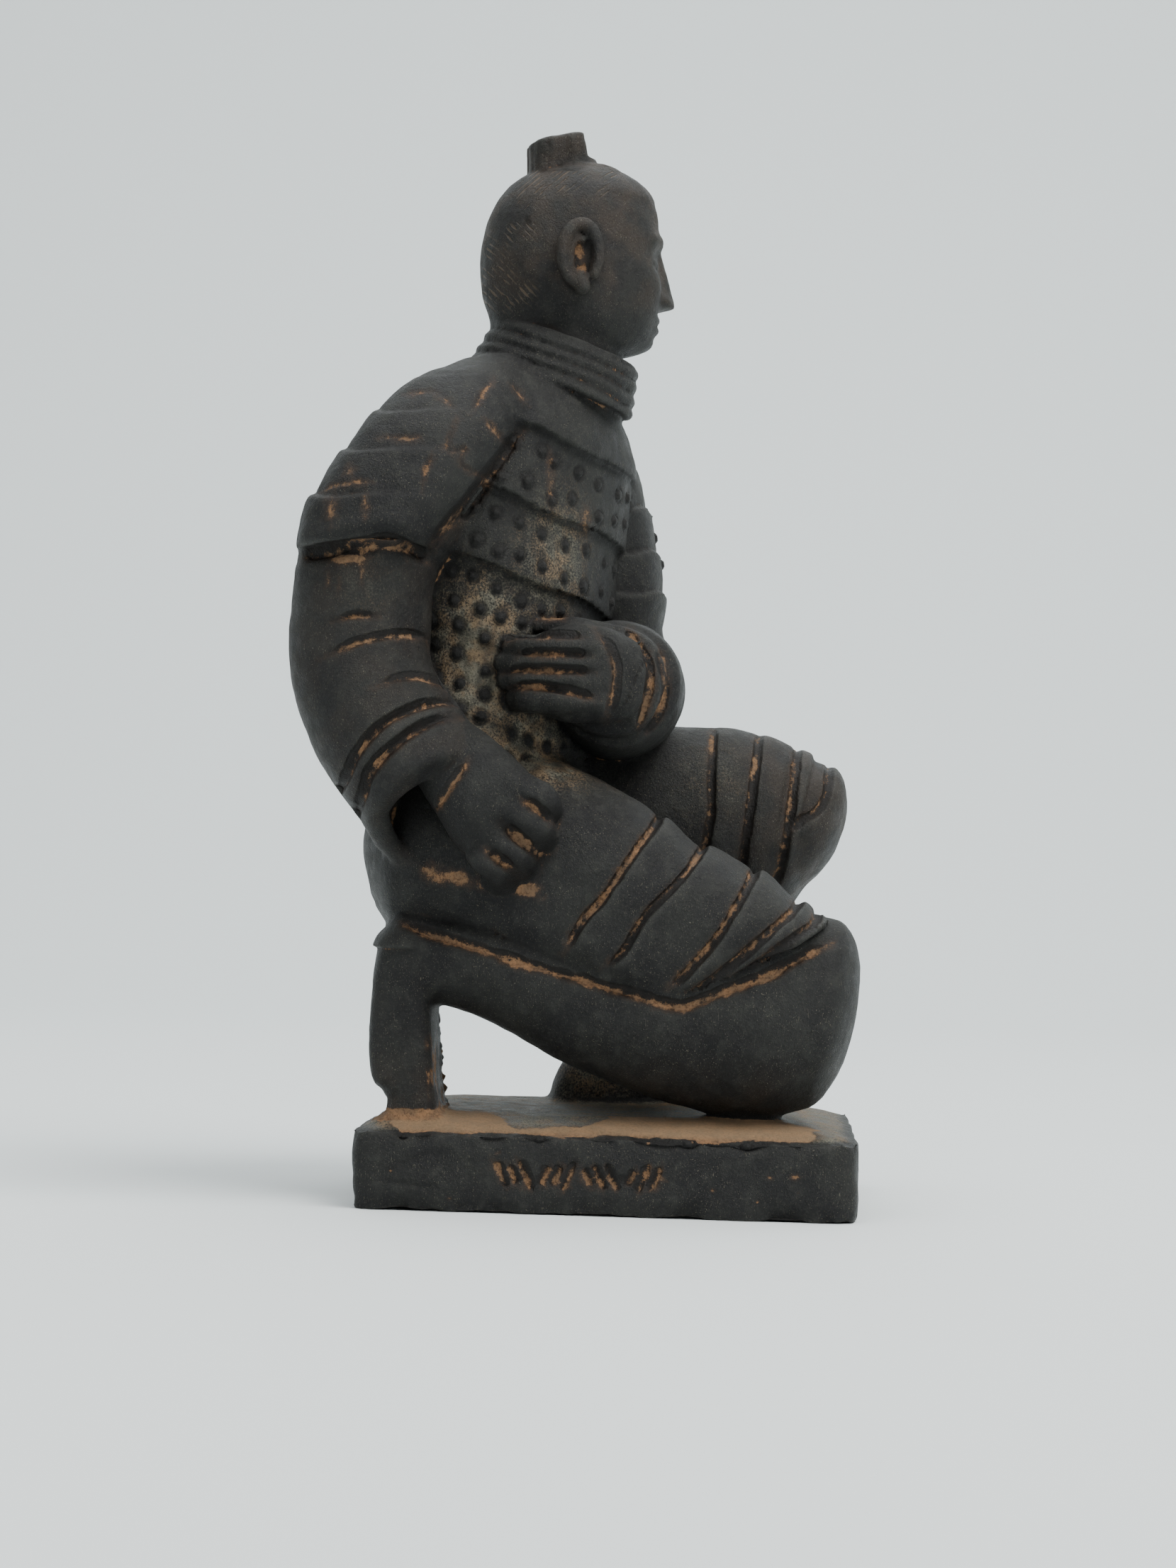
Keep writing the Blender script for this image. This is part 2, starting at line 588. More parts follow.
# %% Ears
def ear(side):
    """A shell against the head with the helix round its rim and the inner fold beside it."""
    x = side * (HEAD["width"] - 0.6)
    rim = [
        (x + side * 1.8, 1.5 - 2.7 * math.cos(a), -1.2 + 4.5 * math.sin(a), 1.0 + 0.15 * math.sin(a))
        for a in np.radians(np.linspace(-40, 255, 10))
    ]
    fold = [
        (x + side * 1.7, 1.7 - 1.3 * math.cos(a), -1.7 + 3.0 * math.sin(a), 0.62)
        for a in np.radians(np.linspace(65, 290, 8))
    ]
    lobe = [(x + side * 1.2, 1.6, -4.4, 1.8, 1.3), (x + side * 1.5, 1.0, -6.2, 1.5, 1.3)]
    shell = [(x - side * 2, 1.3, -1.4, 3.2, 5.2), (x + side * 1.3, 1.5, -1.4, 2.9, 4.8)]
    tragus = [(x + side * 0.4, -1.4, -1.4, 0.9), (x + side * 1.3, -0.8, -2.6, 1.0)]
    round_ended = [loft(limb(path), dome=(end, end)) for path, end in ((rim, 0.8), (fold, 0.5), (lobe, 1))]
    return [*round_ended, loft(limb(shell, (0, 1, 0))), loft(limb(tragus), dome=(0.6, 0.6))]


# %% Top-knot and plait
def fluted(t, angle):
    """The folded locks of the knot show on its rear half."""
    return 0.22 * np.cos(26 * angle) * smooth(-np.cos(angle), -0.45, -0.1)


knot = loft([
    level(0, 2.2, 0.7 * HEAD["height"], 4.4, 4, 0, 5),
    level(0, 2.6, 1.02 * HEAD["height"], 4.2, 3.9, 0, 5),
    ring((0, 3.1, 1.24 * HEAD["height"]), (0, -3.8, 0.9), (-4.2, 0, 0), 5),
], rows=80, around=320, dome=(0, 0.7), relief=fluted)
collar = loft([
    level(0, -1, 0.8 * HEAD["height"], 3.4, 3.6), level(0, -0.8, 1.05 * HEAD["height"], 2.4, 3),
], dome=(0, 0.4))
plait = loft(limb([
    (0, 9.4, 5.0, 4.4, 2.6), (0, 10.8, 0, 5, 3), (0, 10.5, -5.8, 4.8, 3), (0, 8.6, -11.1, 4, 2.6),
]), dome=(1.4, 1.4))

clay.add("head", solid(placed(skull)), soft=0.5)
clay.add("head", solid(placed(plait)), soft=0.9)
for side in (-1, 1):
    clay.add("ear", *[solid(placed(piece)) for piece in ear(side)], soft=0.3)
clay.add("knot", solid(placed(knot)), solid(placed(collar)), soft=0.5)
print("head done,", round(time.time() - started, 1), "s")

# %% [markdown]
# ## From the volume to a skin
#
# The zero level of the volume comes out as a fine net of quads. It is eased once to take off
# the stair-steps, and each point learns which piece it belongs to.

# %% Skin
grid = openvdb.FloatGrid(background=BAND)
grid.transform = GRID
grid.copyFromArray(clay.values, ijk=tuple(int(i) for i in LOW))
points, quads = grid.convertToQuads(isovalue=0.0)
points, quads = points.astype(float), quads.astype(int)
print(len(points), "points,", len(quads), "quads,", round(time.time() - started, 1), "s")


PAIRS = np.concatenate([quads[:, [k, (k + 1) % 4]] for k in range(4)])
COUNT = np.bincount(PAIRS.ravel(), minlength=len(points)).astype(float)


def neighbour_mean(values):
    """The mean of each point's neighbours."""
    return np.stack([
        np.bincount(PAIRS[:, 0], values[PAIRS[:, 1], k], len(points))
        + np.bincount(PAIRS[:, 1], values[PAIRS[:, 0], k], len(points))
        for k in range(3)
    ], -1) / COUNT[:, None]


def eased(values, times):
    """Moves each point half way to the mean of its neighbours, again and again."""
    for _ in range(times):
        values = values + 0.5 * (neighbour_mean(values) - values)
    return values


def normals_of(points):
    a, b = points[quads[:, 2]] - points[quads[:, 0]], points[quads[:, 3]] - points[quads[:, 1]]
    faces = np.cross(a, b)
    return unit(np.stack([
        sum(np.bincount(quads[:, i], faces[:, k], len(points)) for i in range(4)) for k in range(3)
    ], -1))


cells = np.clip(np.round(points / VOXEL).astype(int) - LOW, 0, np.array(clay.values.shape) - 1)
OWNER = clay.owner[tuple(cells.T)]
points = eased(points, 1)
normals = normals_of(points)
if ((points - points.mean(0)) * normals).sum() < 0:
    quads = quads[:, ::-1]
    normals = -normals
print("owners", {name: int((OWNER == i).sum()) for i, name in enumerate(clay.names)})

# %% [markdown]
# ## Tool marks
#
# Marks are pressed in along the skin's own normals. A mark on the figure's right side is drawn
# as a short path of (y, z) places, seen from that side, and only touches the pieces it names.
# The grey slip never reached the bottoms of these marks, so each one can leave bare clay in it,
# beside a dark cut. What is painted is kept as numbers on the points: bare clay, dust and so on.
# The net of points is coarser than a hair-fine line. So a line is painted as an even slope with
# its ridge on the line, and the finish shows only the top of it.

# %% Tools for marks
LATTICE = np.random.default_rng(7).random((32, 32, 32))
SHOWN = 0.54  # where on a slope of paint the finish starts to show it
SLOPE = 1.6  # how far from its ridge a slope reaches
paint = {name: np.zeros(len(points)) for name in ("bare", "cut", "dust", "warm", "soot", "comb", "hair")}


def cloud(where, size, seed=0):
    """Smooth noise from -1 to 1 with lumps of the given size in mm."""
    place = where / size + seed * 7.31
    cell = np.floor(place).astype(int)
    w = place - cell
    w = w * w * (3 - 2 * w)
    total = 0
    for corner in np.ndindex(2, 2, 2):
        share = np.prod(np.where(corner, w, 1 - w), axis=1)
        total = total + share * LATTICE[tuple(((cell + corner) % len(LATTICE)).T)]
    return 2 * total - 1


def belongs(*names):
    return np.isin(OWNER, [clay.names.index(name) for name in names])


def lay(layer, index, value):
    """Paints over points where the new value is stronger."""
    paint[layer][index] = np.maximum(paint[layer][index], value)


# %% Marks along a path
def nearest_on(path, where):
    """From each place to a path: the distance, which side it is on, and how far along (0 to 1)."""
    path = np.array(path, float)
    lengths = np.linalg.norm(np.diff(path, axis=0), axis=1)
    ends = np.concatenate([[0], np.cumsum(lengths)])
    best, along, side = np.full(len(where), 1e9), np.zeros(len(where)), np.ones(len(where))
    for k, (a, b) in enumerate(zip(path[:-1], path[1:])):
        step = (b - a) / max(lengths[k], 1e-9)
        offset = where - a
        u = np.clip(offset @ step, 0, lengths[k])
        away = np.linalg.norm(offset - u[:, None] * step, axis=1)
        closer = away < best
        best[closer] = away[closer]
        along[closer] = (ends[k] + u[closer]) / ends[-1]
        side[closer] = np.sign(offset[closer, 1] * step[0] - offset[closer, 0] * step[1])
    return best, side, along


def curved(path, per=6):
    """A path rounded through its corners."""
    path = np.array(path, float)
    return catmull(path, np.linspace(0, 1, per * (len(path) - 1) + 1)) if len(path) > 2 else path


def near_path(path, on, reach, facing):
    """The points of some pieces within reach of a path, whose normals face the right enough."""
    flat = points[:, 1:]
    near = belongs(*on) & (flat > path.min(0) - reach).all(1) & (flat < path.max(0) + reach).all(1)
    return np.flatnonzero(near & (normals[:, 0] < facing))


def thin(layer, index, away, wide, strength):
    """Paints a slope that shows as a line about `wide` mm wide."""
    peak = SHOWN / (1 - min(0.5 * wide / SLOPE, 0.6))
    lay(layer, index, peak * strength * np.clip(1 - away / SLOPE, 0, 1))


def groove(path, on, width=0.5, depth=0.35, bare=0.0, taper=0.25, wander=0.15, facing=-0.05):
    """A pressed line; a negative depth raises a ridge."""
    path = curved(path)
    index = near_path(path, on, 3 * width + 1, facing)
    away, side, along = nearest_on(path, points[index][:, 1:])
    away = away + wander * width * cloud(points[index], 1.7)
    above = away * side * math.copysign(1, path[-1][0] - path[0][0])
    away = np.abs(away)
    ends = smooth(along, 0, taper) * smooth(1 - along, 0, taper)
    points[index] -= normals[index] * (depth * gauss(away, width) * (0.25 + 0.75 * ends))[:, None]
    if depth > 0.3:
        thin("cut", index, np.abs(above - 0.2), 0.5, 0.5 + 0.9 * ends)
    if bare:
        broken = 0.95 + 0.22 * cloud(points[index], 2.4, 20)
        thin("bare", index, np.abs(above + 0.2), 0.9 * width * bare, broken * (0.7 + 0.3 * ends))


def overlap(path, on, rise=0.5, drop=0.3, reach=2.4, nip=0.4, bare=0.0, facing=2.0, taper=0.1):
    """A fold that swells on the path's left side, ends at the path and is nipped in there."""
    path = curved(path)
    index = near_path(path, on, 2.5 * reach, facing)
    away, side, along = nearest_on(path, points[index][:, 1:])
    away = away + 0.12 * cloud(points[index], 2.2)
    ends = smooth(along, 0, taper) * smooth(1.02 - along, 0, taper)
    swell = rise * gauss(away - 1.3, reach) * smooth(away, 0, 0.9)
    sink = -drop * gauss(away, 0.7 * reach)
    shape = np.where(side > 0, swell - drop * gauss(away, 0.8), sink) - nip * gauss(away, 0.4)
    points[index] += normals[index] * (shape * ends)[:, None]
    if bare:
        broken = 0.9 + 0.25 * cloud(points[index], 3, 21)
        thin("bare", index, np.abs(side * away + 0.3), 0.7 * bare, broken * (0.7 + 0.3 * ends))
    thin("cut", index, np.abs(side * away), 0.5, 0.5 + 0.8 * ends)


def patch(layer, place, size, amount=1.0, on=None, dent=0.0):
    """A soft spot of paint round a place, with an optional dent."""
    place, size = np.array(place, float), np.broadcast_to(size, 3)
    near = (np.abs(points - place) < 2.2 * size).all(1)
    if on:
        near &= belongs(*on)
    index = np.flatnonzero(near)
    value = np.exp(-(((points[index] - place) / size) ** 2).sum(1))
    lay(layer, index, amount * value)
    points[index] -= normals[index] * (dent * value)[:, None]


# %% The coat's folds and hem
HEM = [
    (30.6, 40.7), (27, 39.5), (20, 37.5), (9.5, 34.5), (3, 33), (-4, 31), (-10, 29.7), (-12.5, 30.4),
    (-17, 32.3), (-22.5, 34.5), (-26.5, 36.8), (-31.5, 39.5),
]
COAT_FOLDS = [  # each from the hem upwards, with how much bare clay shows in it
    ([(6.5, 36.5), (4, 41.5), (1, 45), (-3.5, 52), (-6, 56), (-8, 63)], 0.55),
    ([(1, 34.5), (-2, 37.5), (-5, 42.5), (-9.5, 47.5), (-12.3, 51.7), (-15, 59)], 0.45),
    ([(-8.5, 32), (-11, 34.5), (-14, 38), (-17, 42.5), (-20.2, 48.8), (-22, 54)], 0.62),
    ([(-10, 30.4), (-12, 31.2), (-17.7, 36), (-23, 41), (-26.5, 44.5), (-28, 49)], 0.85),
    ([(-11, 30), (-17.7, 33.3), (-20.5, 35.2), (-26.2, 40), (-29, 42), (-30, 45)], 0.8),
]
for path, bare in COAT_FOLDS:
    overlap(path, ("right_skirt",), 0.55, 0.3, 2.6, 0.45, bare)
    normals = normals_of(points)
groove(HEM, ("right_skirt", "shin"), 0.75, 0.75, bare=1.4, taper=0.05, wander=0.4)
groove([(18.5, 40), (14.5, 38.2)], ("right_skirt",), 0.4, 0.3, bare=0.8)

THIGH_FOLDS = [
    ([(-12, 48), (-13, 54), (-13.6, 58.5), (-13.4, 63), (-13.6, 71.5)], 0.45),
    ([(-18, 48), (-19, 55), (-20, 64), (-20.6, 71)], 0.4),
    ([(-22.6, 45.5), (-24.4, 50.5), (-25.5, 58), (-26.2, 64.5), (-26.6, 69.5)], 0.5),
    ([(-25.6, 55), (-27, 57), (-29.5, 58.6), (-31, 61.3), (-31.4, 67)], 0.35),
]
for path, bare in THIGH_FOLDS:
    overlap(path, ("left_skirt", "left_leg"), 0.4, 0.2, 2.4, 0.25, bare)
    normals = normals_of(points)

# %% Folds of the right sleeve, the cuff and both hands
SLEEVE = ("right_sleeve",)
SLEEVE_FOLDS = [  # path, width, depth, bare clay, taper
    ([(42.5, 58), (39, 60), (36.6, 64.4), (32.6, 68.8), (27, 71.8), (21.5, 72.6)], 0.7, 1.2, 0.5, 0.2),
    ([(38.4, 54), (35.8, 58.4), (34.4, 62), (30.6, 66), (25.6, 69.4), (21.6, 70.4)], 0.8, 1.3, 0.5, 0.2),
    ([(42.3, 78), (36.7, 80.3), (32.5, 81.4), (28.3, 81.7), (26.6, 79.6)], 0.5, 0.45, 0.75, 0.3),
    ([(35.2, 73.7), (30.1, 75.6), (26.1, 75.4), (22.2, 73.2), (18.8, 70)], 0.6, 0.5, 0.5, 0.3),
    ([(40.9, 83.3), (37.4, 84.1), (33.4, 84.3)], 0.35, 0.7, 1.5, 0.5),
]
for path, *how in SLEEVE_FOLDS:
    groove(path, SLEEVE, *how)
groove([(26, 56), (23, 60.3), (20.6, 64)], ("right_hand", "right_sleeve"), 0.7, 0.4, 1.5, 0.25)
FIST_GAPS = [
    [(12.8, 58.8), (10.5, 57.2), (8, 55)], [(15.8, 55.3), (13.2, 53), (10.3, 50.6)],
    [(17.8, 51.4), (15.8, 49.9), (13.4, 48.2)],
]
for path in FIST_GAPS:
    groove(path, ("right_hand",), 0.6, 0.7, 0.95, 0.35)
FINGER_GAPS = [  # path, width, depth, bare clay
    ([(17.5, 81.4), (14, 82.6), (5, 82.6)], 0.45, 0.6, 1.1),
    ([(14.8, 79.8), (4.2, 79.9)], 0.35, 0.5, 0.85),
    ([(16.6, 77.2), (13.2, 77.5), (3.7, 77.4)], 0.4, 0.55, 1.1),
    ([(15.5, 75.1), (11, 75), (7, 74.4), (3, 73.6)], 0.45, 0.6, 1.1),
]
for path, *how in FINGER_GAPS:
    groove(path, ("left_hand",), *how, 0.15)
LEFT_CUFF = ("left_hand", "left_sleeve")
groove([(3.6, 84), (0.6, 79.5), (0.4, 74.5), (1.6, 70.4)], LEFT_CUFF, 0.6, 0.4, 0.75, facing=0.4)
groove([(13, 85.4), (7.7, 86)], (*LEFT_CUFF, "armour"), 0.6, 0.2, 1.1, facing=0.5)
LEFT_SLEEVE_FOLDS = [
    [(-0.4, 84.5), (-4.2, 79), (-4, 74), (-2.6, 69.5)], [(-5.2, 81.5), (-6.6, 76), (-5.8, 72), (-3.6, 68.8)],
]
for path in LEFT_SLEEVE_FOLDS:
    overlap(path, ("left_sleeve",), 0.3, 0.2, 1.6, 0.3, 0.4, facing=0.9)

# %% Guard rows and scratched plates
GUARD = ("right_guard", "right_sleeve", "armour")
LOWER_EDGE = [(46.5, 92.9), (42, 93.2), (38.7, 93.8), (33.3, 94.8), (29.8, 94), (27.2, 92.4)]
LIP = [(46.5, 95.6), (42, 95.9), (38.7, 96.6), (33.3, 97.6), (29.4, 97)]
FRONT_EDGE = [(27.4, 94.2), (25.3, 97.1), (20.4, 103.6), (17.3, 108.9), (14.9, 112.9)]
groove(LOWER_EDGE, GUARD, 0.9, 1.3, 0.3, 0.08)
groove(LIP, GUARD[:1], 1.3, -0.5, taper=0.1)
groove(FRONT_EDGE, GUARD, 0.6, 0.6, 0.3, 0.15)
ROW_EDGES = [
    [(32.5, 117), (27, 117), (23.5, 113.5)], [(35, 109.8), (28.5, 109.8)],
    [(43.5, 102), (39.5, 103), (35, 103.3)],
]
for path in ROW_EDGES:
    groove(path, GUARD, 0.3, 0.12, 0.6)
SCRATCHES = [
    [(26.6, 108), (28, 104.7), (28.2, 101.8)], [(19.8, 113.2), (18, 111), (17.2, 110.6)],
    [(23.3, 113.3), (24.7, 109.8), (24.5, 108), (22.4, 108.4), (22.8, 106.2), (20.7, 105.2), (19.6, 105.8)],
    [(19.6, 119.8), (20.8, 116.7), (21.9, 114.1)], [(16.7, 119.5), (15.5, 118.2), (14.1, 116.4)],
]
for path in SCRATCHES:
    groove(path, GUARD, 0.3, 0.25, 0.8, 0.3)
RUBS = [  # y, z, length, height and strength of each place rubbed through to the clay
    (41, 99.1, 1.8, 3.2, 0.56), (36, 99.4, 0.9, 3.4, 0.64), (38.8, 104.8, 1.6, 1.7, 0.6),
    (38.8, 92.2, 3.6, 0.9, 0.96), (41.6, 89.2, 0.7, 2.6, 0.6), (39.8, 88.2, 0.5, 2.8, 0.56),
    (36.6, 89.6, 0.6, 2.4, 0.6), (33, 93.8, 1.6, 0.6, 0.64), (30.6, 92.2, 0.8, 1.4, 0.52),
]
for y, z, long, tall, amount in RUBS:
    patch("bare", (-31, y, z), (6, long, tall), amount, GUARD)

# %% Bare streaks on the chest
groove([(10.8, 110), (10.6, 105), (10.6, 101.6)], ("armour",), 0.5, 0.05, 0.95, facing=0.5)
groove([(6, 103), (6.4, 98)], ("armour",), 0.5, 0.05, 0.85, facing=0.8)

# %% [markdown]
# ## Rivets
#
# The plates are held by round rivets. They stand in rows up the spine and columns round the
# chest, so their places come from the armour's own rings.

# %% Rivets
def on_armour(s, turn):
    """A place on the armour, s mm up the spine and turned from its front to the figure's right."""
    knots = np.array(ARMOUR)[:6, :9]
    centre, ahead, aside = np.split(catmull(knots, np.array([s / 50]))[0], 3)
    c, n = math.cos(math.radians(turn)), math.sin(math.radians(turn))
    power = 2 / 2.3
    return centre + ahead * math.copysign(abs(c) ** power, c) + aside * math.copysign(abs(n) ** power, n)


def rivet(place, on, size, height):
    """A round head with a faint moat; it stays dark where the plates round it are dusty."""
    index = np.flatnonzero(belongs(*on) & (np.abs(points - place) < 2.4).all(1))
    offset = points[index] - place
    drop = (offset * normals[index]).sum(1)
    away = np.sqrt(np.maximum((offset**2).sum(1) - drop**2, 0))
    shape = height * smooth(size + 0.25 - away, 0, 0.5) - 0.18 * gauss(away - size - 0.4, 0.3)
    points[index] += normals[index] * shape[:, None]
    lay("soot", index, smooth(size + 0.35 - away, 0, 0.3))


RIVET_ROWS = [1.2, 4.9, 8.6, 12.3, 16.2, 20.0, 23.6, 29.0, 33.6, 39.4, 44.2]
normals = normals_of(points)
scatter = np.random.default_rng(21)
for s in RIVET_ROWS:
    for turn in range(-97, 110, 14):
        place = on_armour(s + scatter.normal(0, 0.35), turn + scatter.normal(0, 1.2))
        rivet(place, ("armour",), scatter.uniform(0.55, 0.78), scatter.uniform(0.22, 0.52))
for row in range(5):
    for column in range(-3, 4):
        a = math.radians(30 * column)
        place = (18.2 + 12.2 * math.cos(a), 8 - 12.2 * math.sin(a) - 1.2 * row, 105.5 - 4.2 * row)
        rivet(np.array(place), ("left_guard",), 0.7, 0.35)
print("rivets done,", round(time.time() - started, 1), "s")

# %% [markdown]
# ## Plinth, heel and window
#
# The stamp in the plinth's side is four groups of slanted strokes. A knife opened the window
# under the shin and left a ragged burr, and the slip stops short of the plinth's upper edge.

# %% Plinth, heel and window
STROKES = dict(groups=4, pitch=6.1, bars=3, long=4.8, middle=3.5, level=5.6, spread=0.28)
PLINTH_FACE = ("plinth",)
for i in range(STROKES["groups"] * STROKES["bars"]):
    group, k = divmod(i, STROKES["bars"])
    half = 0.5 * STROKES["long"] * (0.75 + 0.25 * math.sin(2.3 * i))
    lean = math.radians(-24 if group % 2 else 24)
    steps = group - (STROKES["groups"] - 1) / 2 + (k - 1) * STROKES["spread"]
    y, z = STROKES["middle"] + steps * STROKES["pitch"], STROKES["level"]
    ends = [(y + sign * half * math.sin(lean), z - sign * half * math.cos(lean)) for sign in (-1, 1)]
    groove(ends, PLINTH_FACE, 0.3, 0.4, 2.2, 0.1, wander=0.6, facing=-0.5)
for k in range(5):  # comb marks beside the strokes
    groove([(20.5 - 0.3 * k, 7.8 - 1.1 * k), (17.6, 6.9 - 1.1 * k)], PLINTH_FACE, 0.25, 0.1, facing=-0.5)
groove([(32, 4.6), (30, 6), (27, 7.4), (22.5, 8.8)], PLINTH_FACE, 0.4, 0.16, facing=-0.5)
groove([(32.6, 4.4), (28, 4), (22.5, 3.2)], PLINTH_FACE, 0.35, 0.14, facing=-0.5)
SPOTS = [
    (-6.3, 11, 0.5), (-15.5, 4.2, 0.45), (-27, 6.4, 0.9), (-23.5, 6.2, 0.6), (-21.8, 2.8, 0.35),
    (14.8, 8.6, 0.5), (30, 5.6, 0.35), (-9, 5.4, 0.4), (21.5, 2, 0.5), (-27.4, 4.3, 0.3),
]
for y, z, size in SPOTS:
    patch("bare", (-31, y, z), (2, size, 0.8 * size), 0.75, PLINTH_FACE, dent=0.1)
CHIPS = ((-12, 1.0), (-15.6, 1.5), (-20, 1.2), (28.6, 0.8), (9, 0.6))
for y, size in CHIPS:
    patch("soot", (-31, y, 11), (1.4, size, 0.8), 0.2, PLINTH_FACE, dent=0.55)
CRACK = [(8.5, 11.6), (4, 11.9), (0.5, 11.7), (-6, 11.4), (-10.5, 11)]
groove(CRACK, PLINTH_FACE, 0.22, 0.3, taper=0.1, facing=0.5)

normals = normals_of(points)
x, y, z = points.T
# the plinth's lower and upper edges are uneven
edge = belongs("plinth") * gauss(z - 0.4, 1.6)
wear = 0.3 + 0.45 * cloud(points, 4.5, 2) + 0.15 * cloud(points, 1.3, 24)
points -= normals * (edge * wear)[:, None]
edge = belongs("plinth") * gauss(z - 10.9, 1.0) * smooth(-x, 25, 30)
wear = 0.3 + 0.35 * cloud(points, 3.1, 3) + 0.15 * cloud(points, 1.1, 25)
points -= normals * (edge * wear)[:, None]
# burr on the far edge of the window's wall, and the heel's ragged lower corner
burr = belongs("shin") * gauss(y - 24.6, 1.6) * smooth(x, -13, -9)
burr = burr * smooth(z, 13, 15) * (1 - smooth(z, 27, 29))
points += normals * (burr * 0.9 * np.maximum(cloud(points, 0.9, 4), 0))[:, None]
heel = belongs("shin") * smooth(y, 29, 31) * gauss(z - 15.5, 3)
points -= normals * (heel * (0.3 + 0.5 * cloud(points, 1.5, 5)))[:, None]

# %% [markdown]
# ## Hand-made unevenness and what the slip left bare
#
# Nothing on the real figure is perfectly smooth. Three sizes of soft noise loosen the whole skin.
# Then the skin is compared with an eased copy of itself: where it lies below, it is a crease.

# %% Unevenness and creases
normals = normals_of(points)
lumps = 0.18 * cloud(points, 7, 6) + 0.1 * cloud(points, 2.6, 7) + 0.04 * cloud(points, 1.2, 26)
points += normals * lumps[:, None]
normals = normals_of(points)
calm = eased(points, 10)
hollow = ((calm - points) * normals).sum(1)
paint["crease"] = smooth(hollow, 0.03, 0.14)
paint["edge"] = smooth(-hollow, 0.05, 0.2)
shy = smooth(cloud(points, 5, 8) + 0.4 * cloud(points, 1.6, 9), -0.25, 0.5)
lay("bare", slice(None), 0.62 * paint["crease"] * shy * ~belongs("plinth", "armour"))
x, y, z = points.T
nx, ny, nz = normals.T

# %% Dust, brown patches and the slip's edge on the plinth
COAT = ("armour", "hips", "right_skirt", "left_skirt")
DUSTY = [  # place, size, strength and the pieces it lies on
    ((-19, 20, 78), (11, 8, 13), 1.4, COAT), ((-18, 12, 66), (10, 10, 7), 1.2, COAT),
    ((-13, 10, 94), (10, 8, 12), 0.75, ("armour",)), ((-10, 0, 64), (12, 9, 6), 0.55, COAT),
    ((-24, 20, 66), (4, 9, 3), 0.7, COAT[:3]), ((6, -14, 62), (9, 9, 9), 0.4, ("left_skirt",)),
    ((-31, 36, 88), (8, 8, 9), 0.3, SLEEVE), ((10, 4, 16), (12, 8, 9), 0.8, ("left_leg",)),
]
for place, size, amount, on in DUSTY:
    patch("dust", place, size, amount, on)
paint["dust"] *= 1 - paint["soot"]
plinth = belongs("plinth")
ledge = plinth * smooth(nz, 0.5, 0.9) * smooth(z, 10.8, 11.6) * (1 - smooth(z, 15, 20))
lay("dust", slice(None), 0.9 * ledge)
paint["warm"] = np.clip(
    0.75 * belongs("head", "ear", "knot") * smooth(z, 130, 138)
    + 0.55 * belongs("left_skirt", "left_leg") * smooth(-y, 12, 24)
    + 0.5 * belongs("shin") * smooth(-z, -24, -14) + 0.25 * belongs("right_sleeve"), 0, 1,
)
# the slip ends at a wavering line just below the plinth's upper edge
upper = 10.9 + 0.35 * cloud(points, 5, 10) + 0.2 * cloud(points, 1.4, 11)
bright_ends = smooth(np.abs(y - 8 + 3 * cloud(points, 6, 23)), 3, 13)
reach = 11.9 + 2.2 * bright_ends + 0.4 * cloud(points, 3, 12)
inside = smooth(-x, 12, 18) * smooth(30.5 + 2.5 * cloud(points, 3, 22) - np.abs(y), 0, 2)
band = plinth * smooth(z - upper, -0.1, 0.25) * (1 - smooth(z - reach, -0.6, 0.8)) * inside
lay("bare", slice(None), 0.85 * band)
foot = belongs("shin") * (1 - smooth(z, 13.4, 14.6 + 0.5 * cloud(points, 1.3, 13)))
lay("bare", slice(None), foot * smooth(y, 12, 16))
wall = belongs("shin") * smooth(-ny, 0.3, 0.7) * smooth(y, 19, 22) * (1 - smooth(z, 22, 29))
lay("bare", slice(None), 0.62 * wall * smooth(cloud(points * (1, 1, 0.4), 1.1, 14), -0.5, 0.3))
smear = belongs("right_skirt", "hips") * gauss(z - (46.2 + 0.16 * (y - 15)), 1.7)
smear = smear * smooth(y, 8, 11) * (1 - smooth(y, 27, 29))
lay("bare", slice(None), smear * (0.62 + 0.5 * cloud(points, 1.5, 15)) * (nx < 0))
pocket = belongs("right_sleeve", "hips", "right_skirt") * smooth(x, -29, -25)
lay("soot", slice(None), pocket * gauss(y - 30, 3.6) * gauss(z - 56, 4.4))
under = belongs("right_hand") * smooth(-nz, 0.1, 0.6)
lay("soot", slice(None), 0.8 * under)
for side in (-1, 1):
    inner_ear = on_neck(side * 11, 1.4, -1.0)
    patch("bare", inner_ear, (4, 1.4, 2.8), 0.66, ("ear",))
    patch("bare", inner_ear + (0, -0.4, -2.4), (4, 1.2, 1.3), 0.8, ("ear",))

# %% Combed hair
head = belongs("head")
rows_up = head * smooth(z, 146, 148.5) * smooth(-np.abs(y - 10), -9, -6) * (nz < 0.85)
rows_back = head * smooth(y, 13, 16) * smooth(z, 131, 134) * (1 - smooth(z, 143.5, 145.5))
paint["hair"] = np.maximum(rows_up, rows_back) * smooth(cloud(points, 3.2, 16), -0.35, 0.3)
paint["comb"] = np.where(rows_up > rows_back, y + z, y - z) / math.sqrt(2)
print("painted,", round(time.time() - started, 1), "s")

# %% [markdown]
# ## Hand the skin to Blender
#
# The fine net has far more faces than a reusable part may carry. A Decimate modifier keeps the
# small faces where the skin bends and merges them where it is plain.

